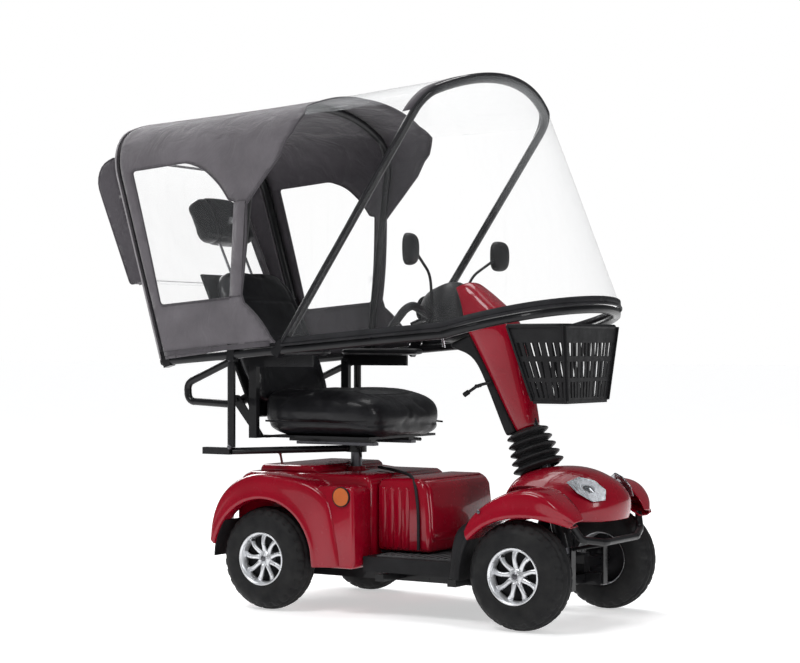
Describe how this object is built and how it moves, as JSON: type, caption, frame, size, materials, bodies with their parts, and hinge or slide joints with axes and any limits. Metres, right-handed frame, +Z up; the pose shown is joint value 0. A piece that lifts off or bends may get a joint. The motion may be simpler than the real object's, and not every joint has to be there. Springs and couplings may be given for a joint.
{
  "type": "mobility scooter with canopy",
  "caption": "Four-wheel mobility scooter with padded swivel seat, tiller steering, basket, mirrors, footboard and a hinged weather canopy with clear screen.",
  "frame": {"origin": "centre of the bounding box at the ground, where the tyres stand", "axes": "+X forward, +Y to the rider's left, +Z up"},
  "size_m": [1.7374, 0.8336, 1.6944],
  "materials": {
    "frame_black": "satin",
    "black_plastic": "satin",
    "floor_rubber": "matt",
    "red_gloss": "gloss",
    "battery_grey": "satin",
    "cast_alloy": "matt",
    "clear_lens": "gloss",
    "amber_lens": "gloss",
    "dark_steel": "satin",
    "vinyl": "satin",
    "bright_steel": "gloss",
    "dark_red": "gloss",
    "bellows_rubber": "satin",
    "tyre": "matt",
    "silver_rim": "metallic",
    "canopy_fabric": "woven",
    "clear_sheet": "gloss"
  },
  "bodies": {
    "body": {"chassis_frame": "frame_black", "floor_pan": "black_plastic", "floor_mat": "floor_rubber", "rear_body": "red_gloss", "battery_cover": "red_gloss", "batteries": "battery_grey", "transaxle": "cast_alloy", "controller": "black_plastic", "nose_shell": "red_gloss", "headlights": "clear_lens", "reflectors": "amber_lens", "front_bumper": "frame_black", "mud_flaps": "black_plastic", "seat_post": "dark_steel", "post_collar": "red_gloss", "canopy_mount": "frame_black", "side_frames": "frame_black", "accessory_receiver": "frame_black"},
    "canopy": {"canopy_frame": "frame_black", "canopy_cover": "canopy_fabric", "canopy_windows": "clear_sheet", "canopy_screen": "clear_sheet", "canopy_hood": "canopy_fabric"},
    "swivel": {"swivel_base": "dark_steel"},
    "swivel_handle": {"swivel_lever": "black_plastic"},
    "seat": {"seat_pan": "frame_black", "seat_cushion": "vinyl"},
    "slide_handle": {"slide_lever": "frame_black"},
    "back": {"backrest_shell": "black_plastic", "backrest_cushion": "vinyl"},
    "head": {"headrest_rods": "bright_steel", "headrest_cushion": "vinyl"},
    "arm_right": {"armrest_right": "frame_black", "armrest_pad_right": "vinyl"},
    "arm_left": {"armrest_left": "frame_black", "armrest_pad_left": "vinyl"},
    "freewheel": {"freewheel_lever": "dark_red"},
    "steering": {"steering_column": "dark_steel", "bellows": "bellows_rubber"},
    "hub_right": {"knuckle_right": "dark_steel"},
    "hub_left": {"knuckle_left": "dark_steel"},
    "wheel_rear_right": {"tyre_rear_right": "tyre", "rim_rear_right": "silver_rim"},
    "wheel_rear_left": {"tyre_rear_left": "tyre", "rim_rear_left": "silver_rim"},
    "wheel_front_right": {"tyre_front_right": "tyre", "rim_front_right": "silver_rim"},
    "wheel_front_left": {"tyre_front_left": "tyre", "rim_front_left": "silver_rim"},
    "tiller": {"tiller_tube": "dark_steel", "tiller_cover_front": "red_gloss", "tiller_cover_rear": "black_plastic", "console": "black_plastic", "handlebar": "black_plastic", "basket": "black_plastic"},
    "throttle": {"throttle_lever": "black_plastic"},
    "tilt_handle": {"tilt_lever": "black_plastic"},
    "key": {"ignition_key": "bright_steel"},
    "mirror_r": {"mirror_right": "black_plastic"},
    "mirror_l": {"mirror_left": "black_plastic"}
  },
  "joints": [
    {"name": "canopy_lift", "type": "hinge", "parent": "body", "child": "canopy", "pos_m": [-0.34725, 0, 0.811], "axis": [0, -1, 0], "range_deg": [0, 35]},
    {"name": "seat_swivel", "type": "hinge", "parent": "body", "child": "swivel", "pos_m": [-0.11025, 0, 0.53], "axis": [0, 0, 1], "range_deg": [-20, 20]},
    {"name": "swivel_release", "type": "hinge", "parent": "body", "child": "swivel_handle", "pos_m": [-0.06525, -0.06, 0.515], "axis": [0, 1, 0], "range_deg": [-12, 0]},
    {"name": "seat_slide", "type": "slide", "parent": "swivel", "child": "seat", "axis": [1, 0, 0], "range_m": [0, 0.08]},
    {"name": "slide_release", "type": "hinge", "parent": "seat", "child": "slide_handle", "pos_m": [-0.09025, 0.138, 0.538], "axis": [0, 0, 1], "range_deg": [0, 8]},
    {"name": "backrest_fold", "type": "hinge", "parent": "seat", "child": "back", "pos_m": [-0.4263, 0, 0.66518], "axis": [0, 1, 0], "range_deg": [0, 60]},
    {"name": "headrest_height", "type": "slide", "parent": "back", "child": "head", "axis": [-0.4226, 0, 0.9063], "range_m": [0, 0.06]},
    {"name": "armrest_right_lift", "type": "hinge", "parent": "seat", "child": "arm_right", "pos_m": [-0.33025, 0, 0.788], "axis": [0, -1, 0], "range_deg": [0, 80]},
    {"name": "armrest_left_lift", "type": "hinge", "parent": "seat", "child": "arm_left", "pos_m": [-0.33025, 0, 0.788], "axis": [0, -1, 0], "range_deg": [0, 80]},
    {"name": "freewheel", "type": "hinge", "parent": "body", "child": "freewheel", "pos_m": [-0.30225, 0, 0.452], "axis": [0, 1, 0], "range_deg": [0, 35]},
    {"name": "steering", "type": "hinge", "parent": "body", "child": "steering", "pos_m": [0.58075, 0, 0.508], "axis": [-0.2588, 0, 0.9659], "range_deg": [-25, 25]},
    {"name": "kingpin_right", "type": "hinge", "parent": "body", "child": "hub_right", "pos_m": [0.66075, -0.258, 0.165], "axis": [0, 0, 1], "range_deg": [-25, 25]},
    {"name": "kingpin_left", "type": "hinge", "parent": "body", "child": "hub_left", "pos_m": [0.66075, 0.258, 0.165], "axis": [0, 0, 1], "range_deg": [-25, 25]},
    {"name": "wheel_spin_rear_right", "type": "hinge", "parent": "body", "child": "wheel_rear_right", "pos_m": [-0.24925, -0.292, 0.165], "axis": [0, 1, 0], "continuous": true},
    {"name": "wheel_spin_rear_left", "type": "hinge", "parent": "body", "child": "wheel_rear_left", "pos_m": [-0.24925, 0.292, 0.165], "axis": [0, 1, 0], "continuous": true},
    {"name": "wheel_spin_front_right", "type": "hinge", "parent": "hub_right", "child": "wheel_front_right", "pos_m": [0.66075, -0.292, 0.165], "axis": [0, 1, 0], "continuous": true},
    {"name": "wheel_spin_front_left", "type": "hinge", "parent": "hub_left", "child": "wheel_front_left", "pos_m": [0.66075, 0.292, 0.165], "axis": [0, 1, 0], "continuous": true},
    {"name": "tiller_tilt", "type": "hinge", "parent": "steering", "child": "tiller", "pos_m": [0.58075, 0, 0.508], "axis": [0, 1, 0], "range_deg": [-8, 15], "deforming": ["bellows"]},
    {"name": "throttle", "type": "hinge", "parent": "tiller", "child": "throttle", "pos_m": [0.2192, 0, 0.91228], "axis": [0, 1, 0], "range_deg": [-15, 15], "stiffness_Nm_per_rad": 2},
    {"name": "tilt_release", "type": "hinge", "parent": "tiller", "child": "tilt_handle", "pos_m": [0.37941, 0, 0.71608], "axis": [0, 1, 0], "range_deg": [0, 20]},
    {"name": "key_turn", "type": "hinge", "parent": "tiller", "child": "key", "pos_m": [0.27027, -0.086, 0.89141], "axis": [0, 1, 0], "range_deg": [0, 80]},
    {"name": "mirror_right_turn", "type": "hinge", "parent": "tiller", "child": "mirror_r", "pos_m": [0.23758, -0.096, 0.97526], "axis": [-0.3633, 0, 0.9317], "range_deg": [-15, 15]},
    {"name": "mirror_left_turn", "type": "hinge", "parent": "tiller", "child": "mirror_l", "pos_m": [0.23758, 0.096, 0.97526], "axis": [-0.3633, 0, 0.9317], "range_deg": [-15, 15]}
  ],
  "couplings": [
    {"joint": "kingpin_right", "follows": "steering", "ratio": 1},
    {"joint": "kingpin_left", "follows": "steering", "ratio": 1}
  ]
}
